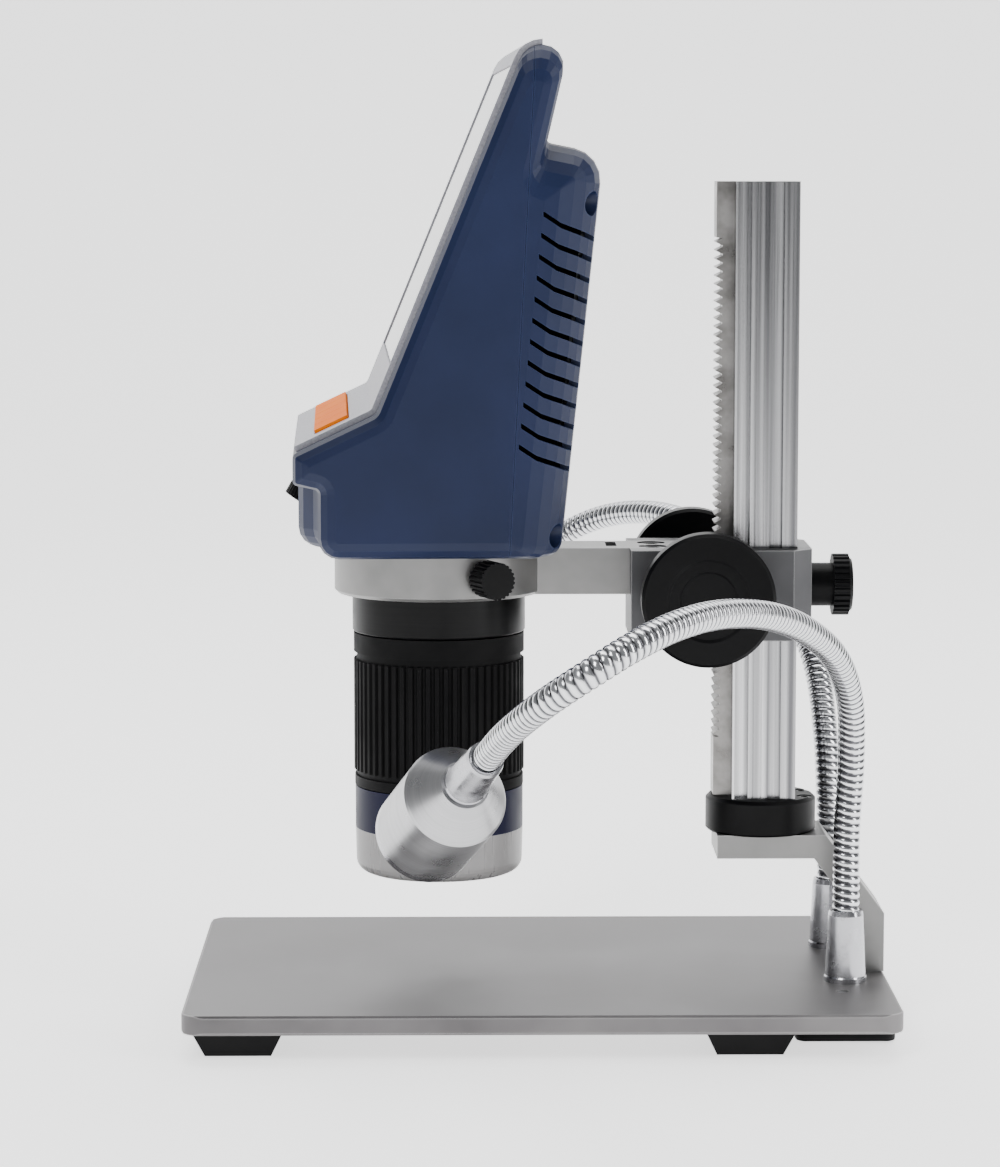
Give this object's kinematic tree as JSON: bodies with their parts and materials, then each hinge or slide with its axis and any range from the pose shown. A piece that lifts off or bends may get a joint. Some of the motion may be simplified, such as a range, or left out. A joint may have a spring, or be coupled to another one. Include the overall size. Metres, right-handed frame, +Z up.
{
  "type": "digital microscope",
  "caption": "Digital microscope with a built-in colour screen on a rack-and-pinion stand, with an aluminium base, a ribbed focus barrel and twin gooseneck lamps",
  "frame": {"origin": "On the table under the middle of the base plate, midway between its edges, at the feet's undersides", "axes": "+Z up. -X is the user's side, where the screen faces; +X is the side of the column. -Y is the near side in the picture; Y runs across the screen."},
  "size_m": [0.1806, 0.294, 0.2515],
  "materials": {
    "anodised_aluminium": "satin anodised",
    "bead_blasted_aluminium": "bead-blasted anodised",
    "block_aluminium": "grey anodised",
    "lamp_aluminium": "turned, matt",
    "black_anodised": "black anodised",
    "rack_steel": "milled",
    "zinc_screws": "zinc plated",
    "black_oxide_screws": "black oxide",
    "chrome_trim": "bright plated",
    "chrome_hose": "bright plated spiral hose",
    "bronze_bush": "sintered bronze",
    "socket_metal": "plated",
    "black_rubber": "matt",
    "black_knob": "satin black",
    "black_abs": "fine texture",
    "blue_shell": "satin dark blue",
    "grey_panel": "satin silver grey",
    "orange_keys": "satin orange",
    "dark_blue_band": "smooth",
    "clear_hood": "clear, frosted by wear",
    "screen_glass": "polished cover",
    "lens_glass": "polished",
    "lcd_panel": "display",
    "circuit_board": "solder mask",
    "led_board": "white solder mask",
    "battery_pouch": "foil"
  },
  "bodies": {
    "stand": {"base_plate": "anodised_aluminium", "rubber_feet": "black_rubber", "foot_screws": "zinc_screws", "driver_case": "black_abs", "driver_board": "circuit_board", "case_screws": "zinc_screws", "foot_ferrules": "chrome_trim", "ferrule_nuts": "zinc_screws", "stand_bracket": "bead_blasted_aluminium", "bracket_screws": "zinc_screws", "column_collar": "black_anodised", "collar_screws": "black_oxide_screws", "column": "anodised_aluminium", "rack": "rack_steel"},
    "carriage": {"carriage_block": "block_aluminium", "pinion_bushes": "bronze_bush", "head_arm": "bead_blasted_aluminium", "arm_screws": "black_oxide_screws"},
    "focus_shaft": {"pinion_shaft": "rack_steel", "height_knob_near": "black_knob", "height_knob_far": "black_knob"},
    "column_lock": {"column_lock_screw": "black_knob"},
    "ring_lock": {"ring_lock_screw": "black_knob"},
    "head": {"front_shell": "blue_shell", "rear_shell": "blue_shell", "front_panel": "grey_panel", "display_glass": "screen_glass", "lcd_module": "lcd_panel", "main_board": "circuit_board", "key_board": "circuit_board", "battery": "battery_pouch", "shell_screws": "black_oxide_screws", "side_sockets": "socket_metal", "sensor_board": "circuit_board", "barrel_flange": "black_anodised", "barrel_tube": "black_anodised", "barrel_band": "dark_blue_band", "led_ring": "led_board", "hood": "clear_hood"},
    "key_a": {"key_1": "orange_keys"},
    "key_b": {"key_2": "orange_keys"},
    "key_c": {"key_3": "orange_keys"},
    "key_d": {"key_4": "orange_keys"},
    "key_e": {"key_5": "orange_keys"},
    "dimmer": {"dimmer_wheel": "black_knob"},
    "focus": {"focus_ring": "black_rubber"},
    "lens_carrier": {"lens_cell": "black_anodised", "objective_lens": "lens_glass"},
    "near_lamp": {"gooseneck_near": "chrome_hose", "lamp_ferrule_near": "chrome_trim", "lamp_housing_near": "lamp_aluminium", "lamp_bezel_near": "chrome_trim", "lamp_lens_near": "lens_glass", "lamp_led_near": "led_board"},
    "far_lamp": {"gooseneck_far": "chrome_hose", "lamp_ferrule_far": "chrome_trim", "lamp_housing_far": "lamp_aluminium", "lamp_bezel_far": "chrome_trim", "lamp_lens_far": "lens_glass", "lamp_led_far": "led_board"}
  },
  "joints": [
    {"name": "carriage_slide", "type": "slide", "parent": "stand", "child": "carriage", "axis": [0, 0, 1], "range_m": [-0.025, 0.08]},
    {"name": "pinion_spin", "type": "hinge", "parent": "carriage", "child": "focus_shaft", "pos_m": [0.042, 0, 0.1125], "axis": [0, 1, 0], "range_deg": [-345, 1095]},
    {"name": "column_lock_turn", "type": "hinge", "parent": "carriage", "child": "column_lock", "pos_m": [0.0702, 0, 0.1125], "axis": [1, 0, 0], "range_deg": [0, 360]},
    {"name": "ring_lock_turn", "type": "hinge", "parent": "carriage", "child": "ring_lock", "pos_m": [-0.0145, -0.0246, 0.117], "axis": [0.4226, -0.9063, 0], "range_deg": [0, 360]},
    {"name": "head_swivel", "type": "hinge", "parent": "carriage", "child": "head", "pos_m": [-0.026, 0, 0.117], "axis": [0, 0, 1], "range_deg": [-25, 25]},
    {"name": "key_1_press", "type": "slide", "parent": "head", "child": "key_a", "axis": [0.4287, 0.015, -0.9033], "range_m": [0, 0.0006], "stiffness_N_per_m": 400, "springref_m": -0.0004},
    {"name": "key_2_press", "type": "slide", "parent": "head", "child": "key_b", "axis": [0.4287, 0.015, -0.9033], "range_m": [0, 0.0006], "stiffness_N_per_m": 400, "springref_m": -0.0004},
    {"name": "key_3_press", "type": "slide", "parent": "head", "child": "key_c", "axis": [0.4287, 0.015, -0.9033], "range_m": [0, 0.0006], "stiffness_N_per_m": 400, "springref_m": -0.0004},
    {"name": "key_4_press", "type": "slide", "parent": "head", "child": "key_d", "axis": [0.4287, 0.015, -0.9033], "range_m": [0, 0.0006], "stiffness_N_per_m": 400, "springref_m": -0.0004},
    {"name": "key_5_press", "type": "slide", "parent": "head", "child": "key_e", "axis": [0.4287, 0.015, -0.9033], "range_m": [0, 0.0006], "stiffness_N_per_m": 400, "springref_m": -0.0004},
    {"name": "dimmer_turn", "type": "hinge", "parent": "head", "child": "dimmer", "pos_m": [-0.05798, -0.00112, 0.1345], "axis": [0.4997, 0.0174, 0.866], "range_deg": [0, 270]},
    {"name": "focus_turn", "type": "hinge", "parent": "head", "child": "focus", "pos_m": [-0.026, 0, 0.08], "axis": [0, 0, 1], "range_deg": [-135, 135]},
    {"name": "lens_travel", "type": "slide", "parent": "head", "child": "lens_carrier", "axis": [0, 0, 1], "range_m": [-0.004, 0.004]},
    {"name": "near_lamp_swing", "type": "hinge", "parent": "stand", "child": "near_lamp", "pos_m": [0.0789, -0.021, 0.0225], "axis": [0, 0, 1], "range_deg": [-8, 30]},
    {"name": "far_lamp_swing", "type": "hinge", "parent": "stand", "child": "far_lamp", "pos_m": [0.0789, 0.021, 0.0225], "axis": [0, 0, 1], "range_deg": [-30, 8]}
  ],
  "couplings": [
    {"joint": "pinion_spin", "follows": "carriage_slide", "rad_per_m": 238.1},
    {"joint": "lens_travel", "follows": "focus_turn", "m_per_rad": 0.0015915}
  ]
}
